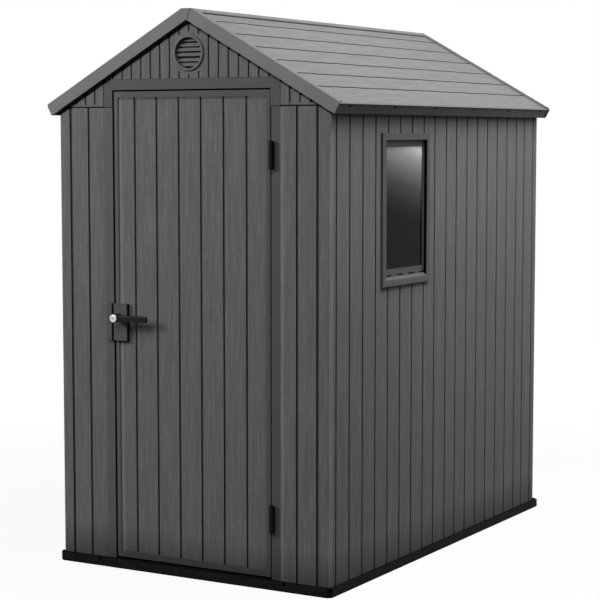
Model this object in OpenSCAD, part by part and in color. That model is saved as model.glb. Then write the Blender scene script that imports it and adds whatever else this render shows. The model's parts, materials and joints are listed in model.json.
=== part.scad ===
// Resin garden shed on a black base, with one side-hung door, one fixed side window
// and a shallow gabled roof. The front faces -Y, +Z is up, and the origin is the
// centre of the base's underside. All sizes are in millimetres.

/* [Walls] */
// Width across the outer faces of the side walls
shed_w = 1157; // [960:1:2400]
// Depth across the outer faces of the front and back walls
shed_d = 1793; // [1490:1:3600]
// Thickness of every wall panel
wall_t = 20; // [12:1:30]
// How far the joint between the side panels lies behind the middle of the wall
joint_back = 4.5; // [0:0.5:20]

/* [Base] */
// Height of the base above the ground
base_h = 34; // [20:1:60]
// How far the base stands out past each side wall
base_side = 8; // [0:1:30]
// How far the base stands out past the front wall
base_front = 16; // [0:1:60]
// How far the base stands out past the back wall
base_back = 33; // [0:1:60]
// Size of the flat cut off each corner of the base
base_chamfer = 14.4; // [1:0.1:15]

/* [Roof] */
// Height of the top outer edge of the eaves
eave_z = 1706; // [1400:5:2100]
// Slope of both sides of the roof, in degrees
roof_slope = 29.1; // [24:0.1:36]
// How far the eave trims stand out past the side walls
eave_reach = 39; // [30:0.5:120]
// How far the front rake trims stand out past the front wall
front_reach = 18; // [15:1:80]
// How far the back rake trims stand out past the back wall
back_reach = 35; // [15:1:80]
// Thickness of the roof panels
roof_t = 26.5; // [14:0.5:30]
// Height of the eave trims' top edge above the roof's surface
trim_lip = 1.5; // [1:0.5:10]
// Width of the eave trims, square to the slope
trim_h = 42; // [36:1:60]
// Width of the rake trims, square to the slope
rake_h = 44.5; // [40:0.5:64]
// How far the rake trims and the ridge cap rise above the eave trims' top edge
rake_lift = 4.5; // [0:0.5:8]
// Thickness of the rake trims
rake_t = 12; // [6:1:14]
// How far each rake trim's lip reaches over the roof's surface, behind its face
lip_reach = 18; // [8:1:40]
// Thickness of the eave trims
eave_t = 10; // [5:1:20]
// Half the width of the flat along the top of the ridge
ridge_flat = 19; // [10:1:30]
// Half the width of the ridge cap
cap_reach = 39; // [35:1:80]
// Half the width of the ridge end caps at their foot
key_foot = 3; // [2:1:8]
// Width of the steel beam under the ridge
beam_w = 50; // [20:1:80]
// Height of the sides of the steel beam
beam_h = 30; // [15:1:60]
// Clearance between the roof panels and the lips, ridge cap and beam along them
seat_gap = 0.1; // [0.1:0.1:1]

/* [Gables] */
// Drop from the eaves' top edge to the gables' lower edge
gable_drop = 7; // [0:1:60]
// Radius of the opening in each gable vent
vent_r = 54.5; // [30:0.5:56]
// Width of the vent's flange around its opening
vent_flange = 9.5; // [6:0.5:12]
// How far the flange stands out from the gable
vent_proud = 8; // [3:1:12]
// Wall thickness of the vent's sleeve
vent_sleeve = 3; // [2:0.5:5]
// Height of the vent above the point midway between door head and roof
vent_lift = 7.4; // [0:0.1:8]
// Number of louvres in each vent
slats = 6; // [3:1:6]
// Distance from one louvre to the next
slat_pitch = 17.5; // [14:0.5:20]
// Thickness of a louvre
slat_t = 3; // [2:0.5:4]

/* [Door] */
// Width of the door leaf
door_w = 667; // [555:1:810]
// Thickness of the door leaf
door_t = 25; // [20:1:35]
// Gap around the door leaf
door_gap = 6; // [5:1:10]
// Height of the door leaf's top above the gables' lower edge
head_rise = 56.5; // [0:0.5:70]

/* [Hinges] */
// Length of each hinge
hinge_l = 100; // [60:1:160]
// Radius of the hinge knuckles
knuckle_r = 8.5; // [7:0.5:9]
// Radius of the hinge pin
pin_r = 4; // [3:0.5:5]
// Radial clearance between the pin and the door's knuckle
pin_clear = 0.3; // [0.1:0.1:0.5]
// Gap between one knuckle and the next
knuckle_gap = 1; // [0.5:0.5:3]
// Distance of the hinge axis past the door leaf's edge
axis_out = 10; // [10:0.5:12]
// Distance of the hinge axis in front of the wall's face
axis_stand = 10; // [10:0.5:14]
// Thickness of the hinge plates in the gap beside the door
plate_t = 2; // [1.5:0.5:2]
// Height from the door leaf's bottom to the lower hinge
hinge_low = 162; // [80:1:300]
// Drop from the door leaf's top to the upper hinge
hinge_high = 175.5; // [80:0.5:300]

/* [Latch] */
// Height of the middle of the latch above the ground
latch_z = 917; // [700:1:1100]
// Height of the latch housing and its keeper
latch_h = 134; // [100:1:180]
// Width of the latch housing
latch_w = 62; // [50:1:80]
// Distance from the door leaf's edge to the latch housing
latch_inset = 4; // [2:1:20]
// How far the housing and the keeper stand out from the door's face
latch_stand = 16; // [10:1:25]
// Width of the keeper
keeper_w = 16; // [10:1:30]
// Gap from the door leaf's edge to the keeper
keeper_gap = 5; // [5:1:8]
// Height of the handle's axis above the middle of the latch
handle_up = 18; // [-20:1:20]

/* [Handle] */
// Distance from the handle's axis to the end of its arm
arm_l = 142; // [90:1:180]
// Height of the arm
arm_h = 24; // [16:1:28]
// Thickness of the arm, front to back
arm_t = 14; // [8:1:18]
// Radius of the handle's barrel
barrel_r = 15; // [12:0.5:18]
// Length of the barrel in front of the latch housing
barrel_l = 36; // [28:1:50]
// Thickness of the lock's face in front of the barrel
lock_t = 5; // [2:1:8]
// Radius of the lock's face
lock_r = 14.5; // [10:0.5:14.5]
// Radius of the spindle through the door
spindle_r = 7; // [5:0.5:8]
// Radial clearance around the spindle
spindle_clear = 2; // [1:0.5:3]
// Gap between the barrel and the latch housing
barrel_gap = 1; // [0.5:0.5:3]
// Gap between the latch tongue and the door leaf's back
tongue_gap = 5; // [5:1:10]
// Length of the latch tongue from the handle's axis
tongue_l = 65; // [55:1:80]
// Width of the latch tongue
tongue_w = 22; // [18:1:28]
// Thickness of the latch tongue
tongue_t = 6; // [4:1:10]

/* [Window] */
// Width of the window's casing
win_w = 383; // [250:1:480]
// Height of the window's casing
win_h = 555; // [400:1:800]
// Width of the casing at the sides and the top
casing_w = 26; // [20:1:45]
// Height of the sill, from the casing's bottom to the opening
sill_h = 34.5; // [30:0.5:60]
// How far the casing stands out from the wall
casing_proud = 7; // [3:1:12]
// Height of the sill's upright nose
sill_nose = 24; // [10:1:28]
// How far the casing laps over the wall around its opening
casing_lap = 10; // [5:1:15]
// Distance from the casing to the joint between the two side panels
win_from_joint = 154.5; // [60:0.5:250]
// Drop from the eaves' top edge to the casing's top
win_drop = 99.5; // [60:0.5:250]
// Width of the glazing rail above the pane
rail_top = 20; // [12:1:30]
// Width of the glazing rail below the pane
rail_foot = 28; // [12:1:40]
// Width of the glazing rail on the pane's front side
rail_front = 27; // [12:1:30]
// Width of the glazing rail on the pane's rear side
rail_rear = 14; // [12:1:30]
// Thickness of the glazing rail
rail_t = 10; // [6:1:12]
// Depth of the glazing rail's face behind the casing's face
rail_depth = 12; // [4:1:14]
// Thickness of the clear pane
pane_t = 4; // [2:0.5:5]
// Depth of the pane's face behind the glazing rail's face
pane_depth = 3; // [1:0.5:4]

/* [Hidden] */

round_fn = 48;

wall_colour = [0.35, 0.35, 0.35];
roof_colour = [0.56, 0.56, 0.57];
trim_colour = [0.42, 0.42, 0.42];
base_colour = [0.09, 0.09, 0.09];
hinge_colour = [0.03, 0.03, 0.03];
lever_colour = [0.1, 0.1, 0.1];
latch_colour = [0.3, 0.3, 0.3];
steel_colour = [0.7, 0.7, 0.7];
lock_colour = [0.8, 0.8, 0.8];
pane_colour = [0.55, 0.6, 0.62, 0.5];

// Plan
half_w = shed_w / 2;
base_w = shed_w + 2 * base_side;
base_d = shed_d + base_front + base_back;
front_y = -base_d / 2 + base_front;          // outer face of the front wall
back_y = front_y + shed_d;                   // outer face of the back wall
joint_y = (front_y + back_y) / 2 + joint_back;  // where the side panels meet

// Roof. The line that the slopes are set out from is the top edge of the eave trims.
rise = tan(roof_slope);
peak_z = eave_z + (half_w + eave_reach) * rise;
slope_l = (half_w + eave_reach) / cos(roof_slope);
surface_n = -trim_lip;                       // the panels' top, below the eave trims' top
under_n = surface_n - roof_t;                // the panels' underside
rake_front_y = front_y - front_reach;
rake_back_y = back_y + back_reach;
panel_front_y = rake_front_y + rake_t;
panel_back_y = rake_back_y - rake_t;
seat_x = ridge_flat - 2;                     // half the flat that the ridge cap sits on
seat_n = surface_n + seat_gap;               // underside of what lies on the panels
hung_n = under_n - seat_gap;                 // top of what lies under the panels
rake_low_n = rake_lift - rake_h;             // the rake trims' lower edge

// Gables and door
gable_z = eave_z - gable_drop;
open_half = door_w / 2 + door_gap;
door_bottom = base_h + door_gap;
door_top = gable_z + head_rise;
head_z = door_top + door_gap;
under_peak = peak_z + under_n / cos(roof_slope);
vent_z = (head_z + under_peak * cos(roof_slope)) / (1 + cos(roof_slope)) + vent_lift;

// Hinges
axis_x = door_w / 2 + axis_out;
axis_y = front_y - axis_stand;
knuckle_l = (hinge_l - 2 * knuckle_gap) / 3;
lower_hinge_z = door_bottom + hinge_low;
upper_hinge_z = door_top - hinge_high - hinge_l;
plate_d = door_t - 4;                        // the plates stop short of the leaf's back

// Latch and handle
latch_x = -door_w / 2 + latch_inset;         // the housing's edge nearest the keeper
handle_x = latch_x + latch_w / 2;
handle_z = latch_z + handle_up;
latch_face_y = front_y - latch_stand;
barrel_back_y = latch_face_y - barrel_gap;
barrel_front_y = barrel_back_y - barrel_l;
tongue_front_y = front_y + door_t + tongue_gap;
tongue_back_y = tongue_front_y + tongue_t;

// Window
win_back_y = joint_y - win_from_joint;
win_front_y = win_back_y - win_w;
win_top_z = eave_z - win_drop;
win_bottom_z = win_top_z - win_h;
open_front_y = win_front_y + casing_w;
open_back_y = win_back_y - casing_w;
open_top_z = win_top_z - casing_w;
open_bottom_z = win_bottom_z + sill_h;
casing_x = half_w + casing_proud;
rail_x = casing_x - rail_depth;
pane_x = rail_x - pane_depth;

// A point at x on the line that is n above the eave trims' top edge.
function at_x(x, n) = [x, peak_z - x * rise + n / cos(roof_slope)];

// A point s down the slope from the peak and n above the eave trims' top edge.
function down(s, n) = [s * cos(roof_slope) + n * sin(roof_slope),
                       peak_z - s * sin(roof_slope) + n * cos(roof_slope)];

function mirrored(points) = [for (i = [len(points) - 1:-1:0]) [-points[i][0], points[i][1]]];

// Extrudes an outline drawn in X and Z from y0 to y1.
module along_y(y0, y1) {
    translate([0, y1, 0]) rotate([90, 0, 0]) linear_extrude(y1 - y0) children();
}

// A box from its low corner to its high corner.
module box(low, high) {
    translate(low) cube(high - low);
}

module cylinder_y(x, z, r, y0, y1) {
    translate([x, y1, z]) rotate([90, 0, 0]) cylinder(r = r, h = y1 - y0, $fn = round_fn);
}

// Everything below the roof's underside, between the side walls' outer faces.
module under_roof(y0, y1) {
    along_y(y0, y1)
        polygon([[-half_w, 0], [half_w, 0], at_x(half_w, under_n), at_x(0, under_n),
                 [-half_w, at_x(half_w, under_n)[1]]]);
}

// Base

module floor_panel() {
    w = base_w / 2;
    d = base_d / 2;
    c = base_chamfer;
    color(base_colour) linear_extrude(base_h)
        polygon([[-w + c, -d], [w - c, -d], [w, -d + c], [w, d - c],
                 [w - c, d], [-w + c, d], [-w, d - c], [-w, -d + c]]);
}

// Walls

module end_wall(x0, x1, y0) {
    color(wall_colour) intersection() {
        box([x0, y0, base_h], [x1, y0 + wall_t, gable_z]);
        under_roof(y0, y0 + wall_t);
    }
}

module gable(y0) {
    intersection() {
        box([-half_w, y0, gable_z], [half_w, y0 + wall_t, peak_z]);
        under_roof(y0, y0 + wall_t);
    }
}

module vent_hole(y0) {
    cylinder_y(0, vent_z, vent_r + vent_sleeve, y0 - 1, y0 + wall_t + 1);
}

module front_gable() {
    color(wall_colour) difference() {
        gable(front_y);
        box([-open_half, front_y - 1, gable_z - 1], [open_half, front_y + wall_t + 1, head_z]);
        vent_hole(front_y);
    }
}

module back_gable() {
    color(wall_colour) difference() {
        gable(back_y - wall_t);
        vent_hole(back_y - wall_t);
    }
}

module side_wall(y0, y1) {
    color(wall_colour) along_y(y0, y1)
        polygon([[half_w - wall_t, base_h], [half_w, base_h], at_x(half_w, under_n),
                 at_x(half_w - wall_t, under_n)]);
}

module right_wall_front() {
    lap = casing_lap;
    color(wall_colour) difference() {
        side_wall(front_y + wall_t, joint_y);
        box([half_w - wall_t - 1, win_front_y + lap, win_bottom_z + lap],
            [half_w + 1, win_back_y - lap, win_top_z - lap]);
    }
}

// A vent for a gable whose outer face is at y = 0 and faces -Y.
module vent() {
    reach = vent_r + vent_sleeve;
    color(wall_colour) {
        difference() {
            union() {
                cylinder_y(0, vent_z, vent_r + vent_flange, -vent_proud, 0);
                cylinder_y(0, vent_z, reach, -1, wall_t);
            }
            cylinder_y(0, vent_z, vent_r, -vent_proud - 1, wall_t + 1);
        }
        for (i = [0:slats - 1]) {
            z = vent_z + (i - (slats - 1) / 2) * slat_pitch;
            intersection() {
                box([-reach, 1, z - slat_t / 2], [reach, wall_t - 2, z + slat_t / 2]);
                cylinder_y(0, vent_z, vent_r + vent_sleeve / 2, 0, wall_t);
            }
        }
    }
}

// Window

// The casing's opening, from x0 to x1.
module opening(x0, x1) {
    box([x0, open_front_y, open_bottom_z], [x1, open_back_y, open_top_z]);
}

module window_frame() {
    lap = casing_lap;
    nose_z = win_bottom_z + sill_nose;
    color(trim_colour) difference() {
        union() {
            box([half_w, win_front_y, win_bottom_z], [casing_x, win_back_y, win_top_z]);
            box([half_w - wall_t, win_front_y + lap, win_bottom_z + lap],
                [half_w + 1, win_back_y - lap, win_top_z - lap]);
        }
        opening(half_w - wall_t - 1, casing_x + 1);
        along_y(open_front_y, open_back_y)
            polygon([[rail_x, open_bottom_z], [casing_x, nose_z], [casing_x + 1, nose_z],
                     [casing_x + 1, open_bottom_z + 1], [rail_x, open_bottom_z + 1]]);
    }
}

module pane_area(x0, x1) {
    box([x0, open_front_y + rail_front, open_bottom_z + rail_foot],
        [x1, open_back_y - rail_rear, open_top_z - rail_top]);
}

module window_rail() {
    color(trim_colour) difference() {
        opening(rail_x - rail_t, rail_x);
        pane_area(rail_x - rail_t - 1, rail_x + 1);
    }
}

module window_pane() {
    color(pane_colour) pane_area(pane_x - pane_t, pane_x);
}

// Roof, drawn for the right-hand side

module roof_panel() {
    seat = at_x(seat_x, surface_n);
    end_s = slope_l - eave_t;
    color(roof_colour) along_y(panel_front_y, panel_back_y)
        polygon([at_x(0, under_n), [0, seat[1]], seat, down(end_s, surface_n),
                 down(end_s, under_n)]);
}

module ridge_beam() {
    top = at_x(beam_w / 2, hung_n);
    half = [[beam_w / 2, top[1] - beam_h], top];
    color(steel_colour) along_y(front_y + wall_t, back_y - wall_t)
        polygon(concat(half, [at_x(0, hung_n)], mirrored(half)));
}

module ridge_cap() {
    half = [at_x(seat_x, seat_n), at_x(cap_reach, seat_n), at_x(cap_reach, rake_lift),
            at_x(ridge_flat, rake_lift)];
    color(roof_colour) along_y(panel_front_y, panel_back_y)
        polygon(concat(half, mirrored(half)));
}

module ridge_end(y0) {
    half = [at_x(key_foot, rake_low_n), at_x(ridge_flat, rake_lift)];
    color(trim_colour) along_y(y0, y0 + rake_t) polygon(concat(half, mirrored(half)));
}

// A rake trim whose face starts at y0, with its lip from lip_y to lip_y + lip_reach.
module rake_trim(y0, lip_y) {
    end_s = slope_l - eave_t;
    color(trim_colour) {
        along_y(y0, y0 + rake_t)
            polygon([at_x(key_foot, rake_low_n), at_x(ridge_flat, rake_lift),
                     down(slope_l, rake_lift), down(slope_l, rake_low_n)]);
        along_y(lip_y, lip_y + lip_reach)
            polygon([at_x(cap_reach, seat_n), at_x(cap_reach, rake_lift),
                     down(end_s, rake_lift), down(end_s, seat_n)]);
    }
}

module rake_trim_front() {
    rake_trim(rake_front_y, panel_front_y);
}

module rake_trim_back() {
    rake_trim(panel_back_y, panel_back_y - lip_reach);
}

module eave_trim() {
    color(trim_colour) along_y(panel_front_y, panel_back_y)
        polygon([down(slope_l - eave_t, 0), down(slope_l, 0), down(slope_l, -trim_h),
                 down(slope_l - eave_t, -trim_h)]);
}

// Door

module door_leaf() {
    color(wall_colour) difference() {
        box([-door_w / 2, front_y, door_bottom], [door_w / 2, front_y + door_t, door_top]);
        cylinder_y(handle_x, handle_z, spindle_r + spindle_clear, front_y - 1,
                   front_y + door_t + 1);
    }
}

module knuckle(z) {
    translate([axis_x, axis_y, z]) cylinder(r = knuckle_r, h = knuckle_l, $fn = round_fn);
}

// A web from the knuckles to a plate whose faces are at x0 and x1.
module knuckle_web(x0, x1, z) {
    translate([0, 0, z]) linear_extrude(knuckle_l)
        polygon([[x0, front_y + 2], [x0, front_y], [axis_x - knuckle_r * 0.9, axis_y],
                 [axis_x, axis_y], [x1, front_y], [x1, front_y + 2]]);
}

module hinge_wall_leaf(z) {
    step = knuckle_l + knuckle_gap;
    x1 = open_half;
    x0 = x1 - plate_t;
    color(hinge_colour) {
        for (i = [0, 2]) {
            knuckle(z + i * step);
            knuckle_web(x0, x1, z + i * step);
        }
        box([x0, front_y + 1, z], [x1, front_y + plate_d, z + hinge_l]);
        translate([axis_x, axis_y, z]) cylinder(r = pin_r, h = hinge_l, $fn = round_fn);
    }
}

module hinge_door_leaf(z) {
    z1 = z + knuckle_l + knuckle_gap;
    x0 = door_w / 2;
    x1 = x0 + plate_t;
    color(hinge_colour) difference() {
        union() {
            knuckle(z1);
            knuckle_web(x0, x1, z1);
            box([x0, front_y + 1, z], [x1, front_y + plate_d, z + hinge_l]);
        }
        translate([axis_x, axis_y, z1 - 1])
            cylinder(r = pin_r + pin_clear, h = knuckle_l + 2, $fn = round_fn);
    }
}

// Latch and handle

module latch_keeper() {
    x1 = -door_w / 2 - keeper_gap;
    color(latch_colour)
        box([x1 - keeper_w, latch_face_y, latch_z - latch_h / 2],
            [x1, front_y, latch_z + latch_h / 2]);
}

module latch_housing() {
    color(latch_colour) difference() {
        box([latch_x, latch_face_y, latch_z - latch_h / 2],
            [latch_x + latch_w, front_y, latch_z + latch_h / 2]);
        cylinder_y(handle_x, handle_z, spindle_r + spindle_clear, latch_face_y - 1, front_y + 1);
    }
}

module handle_lever() {
    arm_end = handle_x + arm_l - arm_h / 2;
    color(lever_colour) {
        cylinder_y(handle_x, handle_z, barrel_r, barrel_front_y, barrel_back_y);
        box([handle_x, barrel_front_y, handle_z - arm_h / 2],
            [arm_end, barrel_front_y + arm_t, handle_z + arm_h / 2]);
        cylinder_y(arm_end, handle_z, arm_h / 2, barrel_front_y, barrel_front_y + arm_t);
    }
}

module lock_cylinder() {
    color(lock_colour)
        cylinder_y(handle_x, handle_z, lock_r, barrel_front_y - lock_t, barrel_front_y);
}

module latch_spindle() {
    color(steel_colour)
        cylinder_y(handle_x, handle_z, spindle_r, barrel_back_y, tongue_front_y);
}

// The tongue stands upright while the arm is level, and swings behind the jamb
// when the arm is lifted.
module latch_tongue() {
    color(steel_colour) {
        cylinder_y(handle_x, handle_z, tongue_w / 2, tongue_front_y, tongue_back_y);
        box([handle_x - tongue_w / 2, tongue_front_y, handle_z],
            [handle_x + tongue_w / 2, tongue_back_y, handle_z + tongue_l]);
    }
}

floor_panel();  // floor
end_wall(-half_w, -open_half, front_y);  // front_wall_left
end_wall(open_half, half_w, front_y);  // front_wall_right
front_gable();
translate([0, front_y, 0]) vent();  // front_vent
end_wall(-half_w, 0, back_y - wall_t);  // back_wall_left
end_wall(0, half_w, back_y - wall_t);  // back_wall_right
back_gable();
translate([0, back_y, 0]) mirror([0, 1, 0]) vent();  // back_vent
mirror([1, 0, 0]) side_wall(front_y + wall_t, joint_y);  // left_wall_front
mirror([1, 0, 0]) side_wall(joint_y, back_y - wall_t);  // left_wall_rear
right_wall_front();
side_wall(joint_y, back_y - wall_t);  // right_wall_rear
window_frame();
window_rail();
window_pane();
mirror([1, 0, 0]) roof_panel();  // roof_panel_left
roof_panel();  // roof_panel_right
ridge_beam();
ridge_cap();
ridge_end(rake_front_y);  // ridge_end_front
ridge_end(panel_back_y);  // ridge_end_back
mirror([1, 0, 0]) rake_trim_front();  // rake_trim_front_left
rake_trim_front();  // rake_trim_front_right
mirror([1, 0, 0]) rake_trim_back();  // rake_trim_back_left
rake_trim_back();  // rake_trim_back_right
mirror([1, 0, 0]) eave_trim();  // eave_trim_left
eave_trim();  // eave_trim_right
latch_keeper();
hinge_wall_leaf(upper_hinge_z);  // upper_hinge_wall_leaf
hinge_wall_leaf(lower_hinge_z);  // lower_hinge_wall_leaf
door_leaf();
hinge_door_leaf(upper_hinge_z);  // upper_hinge_door_leaf
hinge_door_leaf(lower_hinge_z);  // lower_hinge_door_leaf
latch_housing();
handle_lever();
lock_cylinder();
latch_spindle();
latch_tongue();
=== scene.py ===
import json
from math import pi, radians, sin, sqrt

import bmesh
import bpy
from mathutils import Matrix, Vector


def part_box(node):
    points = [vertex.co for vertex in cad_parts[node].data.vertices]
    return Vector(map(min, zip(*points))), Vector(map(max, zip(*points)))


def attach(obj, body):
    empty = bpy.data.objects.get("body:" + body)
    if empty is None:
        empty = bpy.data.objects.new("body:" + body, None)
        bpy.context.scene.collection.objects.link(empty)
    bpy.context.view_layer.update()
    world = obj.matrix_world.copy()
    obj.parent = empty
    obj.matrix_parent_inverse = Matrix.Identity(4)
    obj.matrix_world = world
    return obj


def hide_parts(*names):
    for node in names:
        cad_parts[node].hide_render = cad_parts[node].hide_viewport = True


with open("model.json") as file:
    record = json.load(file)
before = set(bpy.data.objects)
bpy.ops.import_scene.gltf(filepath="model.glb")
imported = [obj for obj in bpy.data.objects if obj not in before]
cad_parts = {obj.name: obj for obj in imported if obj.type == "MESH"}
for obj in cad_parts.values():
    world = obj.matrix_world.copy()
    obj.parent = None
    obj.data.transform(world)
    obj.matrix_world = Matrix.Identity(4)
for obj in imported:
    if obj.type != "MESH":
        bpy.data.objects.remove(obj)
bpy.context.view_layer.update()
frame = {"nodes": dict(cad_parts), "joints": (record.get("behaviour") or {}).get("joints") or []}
print("frame loaded:", len(frame["nodes"]), "nodes")

right = Vector((1, 0, 0))
back = Vector((0, 1, 0))
up = Vector((0, 0, 1))

meshCare = {
    "merge": 0.00001,        # points closer than this are one point
    "touch": 0.0002,         # how near a point counts as lying in a plane
    "flat": radians(0.4),    # faces that meet flatter than this are one face
    "sharp": radians(40),    # edges sharper than this get a rounding
    "crease": radians(50),   # edges sharper than this stay sharp in the shading
}
facing = {                   # how squarely a face looks along a direction, up to 1
    "flat": 0.999,
    "square": 0.99,
    "nearly": 0.94,
    "mostly": 0.9,
    "half": 0.5,
    "partly": 0.3,
    "slightly": 0.1,
}


def plain(light):
    return (light, light, light, 1)


def grey(shade):
    # a grey as a screen shows it, turned into the light that it reflects
    return plain(shade / 12.92 if shade <= 0.04045 else ((shade + 0.055) / 1.055) ** 2.4)


def strayed(shade, variation):
    # the darkest and the lightest grey of a mottled surface
    return grey(shade * (1 - variation)), grey(shade * (1 + variation))


def newMaterial(name, roughness, specular=0.5, metallic=0.0):
    material = bpy.data.materials.new(name)
    material.use_nodes = True
    shader = material.node_tree.nodes["Principled BSDF"]
    shader.inputs["Roughness"].default_value = roughness
    shader.inputs["Specular IOR Level"].default_value = specular
    shader.inputs["Metallic"].default_value = metallic
    return material, material.node_tree, shader


def addNode(tree, kind, sockets=None, **settings):
    # a node with its own settings, and with a value or a link for each named socket
    node = tree.nodes.new(kind)
    for key, value in settings.items():
        setattr(node, key, value)
    for key, value in (sockets or {}).items():
        if isinstance(value, bpy.types.NodeSocket):
            tree.links.new(value, node.inputs[key])
        else:
            node.inputs[key].default_value = value
    return node


def objectPattern(tree, stretch=(1, 1, 1), place=(0, 0, 0)):
    where = addNode(tree, "ShaderNodeTexCoord").outputs["Object"]
    mapping = addNode(tree, "ShaderNodeMapping", {"Vector": where, "Scale": stretch, "Location": place})
    return mapping.outputs["Vector"]


def noise(tree, vector, scale, detail, distortion=0.0):
    texture = addNode(tree, "ShaderNodeTexNoise", {"Vector": vector, "Scale": scale, "Detail": detail,
                                                   "Distortion": distortion})
    return texture.outputs["Fac"]


def spread(tree, value, places, colours):
    ramp = addNode(tree, "ShaderNodeValToRGB", {"Fac": value})
    for element, place, colour in zip(ramp.color_ramp.elements, places, colours):
        element.position = place
        element.color = colour
    return ramp.outputs["Color"]


def bump(tree, shader, height, look):
    node = addNode(tree, "ShaderNodeBump", {"Height": height, "Strength": look["bump"],
                                            "Distance": look["relief"]})
    tree.links.new(node.outputs["Normal"], shader.inputs["Normal"])


def mixed(tree, kind, factor, first, second):
    node = addNode(tree, "ShaderNodeMix", {"Factor": factor, "A": first, "B": second},
                   data_type="RGBA", blend_type=kind)
    return node.outputs["Result"]


def reckoned(tree, kind, first, second):
    return addNode(tree, "ShaderNodeMath", {0: first, 1: second}, operation=kind).outputs["Value"]


def paintShadeAtFoot(tree, colour, look):
    # painted shade: the walls grow darker towards their foot, where the ground shades them
    height = addNode(tree, "ShaderNodeSeparateXYZ", {"Vector": objectPattern(tree)}).outputs["Z"]
    shade = spread(tree, height, look["paintedShadeReach"], (plain(look["paintedShadeFactor"]), plain(1)))
    return mixed(tree, "MULTIPLY", 1.0, colour, shade)


def grainedResin(name, shade, along, look):
    # moulded wood grain: long streaks, short flecks and a fine tooth
    material, tree, shader = newMaterial(name, look["roughness"], look["specular"])
    across = Vector((1, 1, 1)) - along
    longGrain = objectPattern(tree, across + along * look["streakLength"])
    shortGrain = objectPattern(tree, across + along * look["fleckLength"], look["fleckPlace"])
    streaks = noise(tree, longGrain, look["streaks"], *look["streakNoise"])
    flecks = noise(tree, shortGrain, look["flecks"], *look["fleckNoise"])
    tooth = noise(tree, objectPattern(tree), look["tooth"], look["toothDetail"])
    streakColour = spread(tree, streaks, look["streakRamp"], strayed(shade, look["variation"]))
    fleckColour = spread(tree, flecks, look["fleckRamp"], (plain(1), grey(1 + look["fleckLight"])))
    colour = mixed(tree, "MULTIPLY", 1.0, streakColour, fleckColour)
    # the colour gets painted shade towards the foot
    tree.links.new(paintShadeAtFoot(tree, colour, look), shader.inputs["Base Color"])
    bump(tree, shader, mixed(tree, "ADD", look["toothShare"], streaks, tooth), look)
    return material


def smoothResin(name, shade, look):
    # satin moulded surface with a faint mottle
    material, tree, shader = newMaterial(name, look["roughness"], look["specular"])
    vector = objectPattern(tree)
    mottle = noise(tree, vector, look["mottle"], look["mottleDetail"])
    colour = spread(tree, mottle, look["mottleRamp"], strayed(shade, look["variation"]))
    # the colour gets painted shade towards the foot
    tree.links.new(paintShadeAtFoot(tree, colour, look), shader.inputs["Base Color"])
    bump(tree, shader, noise(tree, vector, look["tooth"], look["toothDetail"]), look)
    return material


def brushedMetal(name, shade, look):
    material, tree, shader = newMaterial(name, look["roughness"], metallic=1.0)
    lines = noise(tree, objectPattern(tree, look["stretch"]), look["lines"], look["lineDetail"])
    colours = (grey(shade * look["darkest"]), grey(shade))
    tree.links.new(spread(tree, lines, look["lineRamp"], colours), shader.inputs["Base Color"])
    bump(tree, shader, lines, look)
    return material


def makePaintedReflectionPane(name, look):
    # clear sheet with a painted reflection: pale in its upper rear corner and dark below
    material, tree, shader = newMaterial(name, look["roughness"], look["specular"])
    shader.inputs["IOR"].default_value = look["ior"]
    shader.inputs["Alpha"].default_value = look["alpha"]
    low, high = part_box("window_pane")
    lean = look["rearward"]
    pattern = objectPattern(tree, (0, lean, 1), (0, -low.y * lean, -low.z))
    split = addNode(tree, "ShaderNodeSeparateXYZ", {"Vector": pattern}).outputs
    total = reckoned(tree, "ADD", split["Y"], split["Z"])
    share = reckoned(tree, "DIVIDE", total, high.z - low.z + (high.y - low.y) * lean)
    places = [place for place, shade in look["stops"]]
    colours = [grey(shade) for place, shade in look["stops"]]
    colour = spread(tree, share, (places[0], places[-1]), (colours[0], colours[-1]))
    for place, stopColour in list(zip(places, colours))[1:-1]:
        colour.node.color_ramp.elements.new(place).color = stopColour
    tree.links.new(colour, shader.inputs["Base Color"])
    return material


shadeAtFootLook = {
    "paintedShadeReach": (0.03, 0.16),   # heights between which the painted shade at the walls' foot fades out
    "paintedShadeFactor": 0.45,           # how much of its grey the foot keeps under the painted shade
}
plankFinish = dict(shadeAtFootLook, **{
    "roughness": 0.62,
    "specular": 0.06,
    "streaks": 120,              # streaks to a metre across the grain
    "streakLength": 0.045,       # the smaller, the longer the streaks
    "streakNoise": (4.0, 0.6),   # detail and distortion
    "streakRamp": (0.35, 0.65),
    "flecks": 130,
    "fleckLength": 0.16,
    "fleckPlace": (3, 5, 7),     # keeps the flecks from following the streaks
    "fleckNoise": (2.0, 0.4),
    "fleckRamp": (0.58, 0.7),
    "fleckLight": 0.08,
    "tooth": 900,
    "toothDetail": 2.0,
    "toothShare": 0.25,
    "variation": 0.06,           # how far the grain's grey strays
    "bump": 0.55,
    "relief": 0.0008,
})
smoothFinish = dict(shadeAtFootLook, **{
    "roughness": 0.5,
    "specular": 0.08,
    "mottle": 9,
    "mottleDetail": 2.0,
    "mottleRamp": (0.3, 0.7),
    "tooth": 700,
    "toothDetail": 3.0,
    "variation": 0.02,
    "bump": 0.12,
    "relief": 0.0003,
})
trimFinish = dict(smoothFinish, specular=0.06)
eaveFinish = dict(smoothFinish, specular=0.02)
blackFinish = dict(smoothFinish, paintedShadeFactor=1.0, variation=0.12, bump=0.2, mottle=30)
zincFinish = {
    "roughness": 0.42,
    "lines": 900,
    "lineDetail": 2.0,
    "lineRamp": (0.3, 0.7),
    "darkest": 0.86,             # grey of the lines, as a share of the metal's
    "stretch": (1, 0.05, 1),
    "bump": 0.25,
    "relief": 0.0002,
}
lockFinish = dict(zincFinish, roughness=0.3, stretch=(1, 1, 1))
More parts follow.
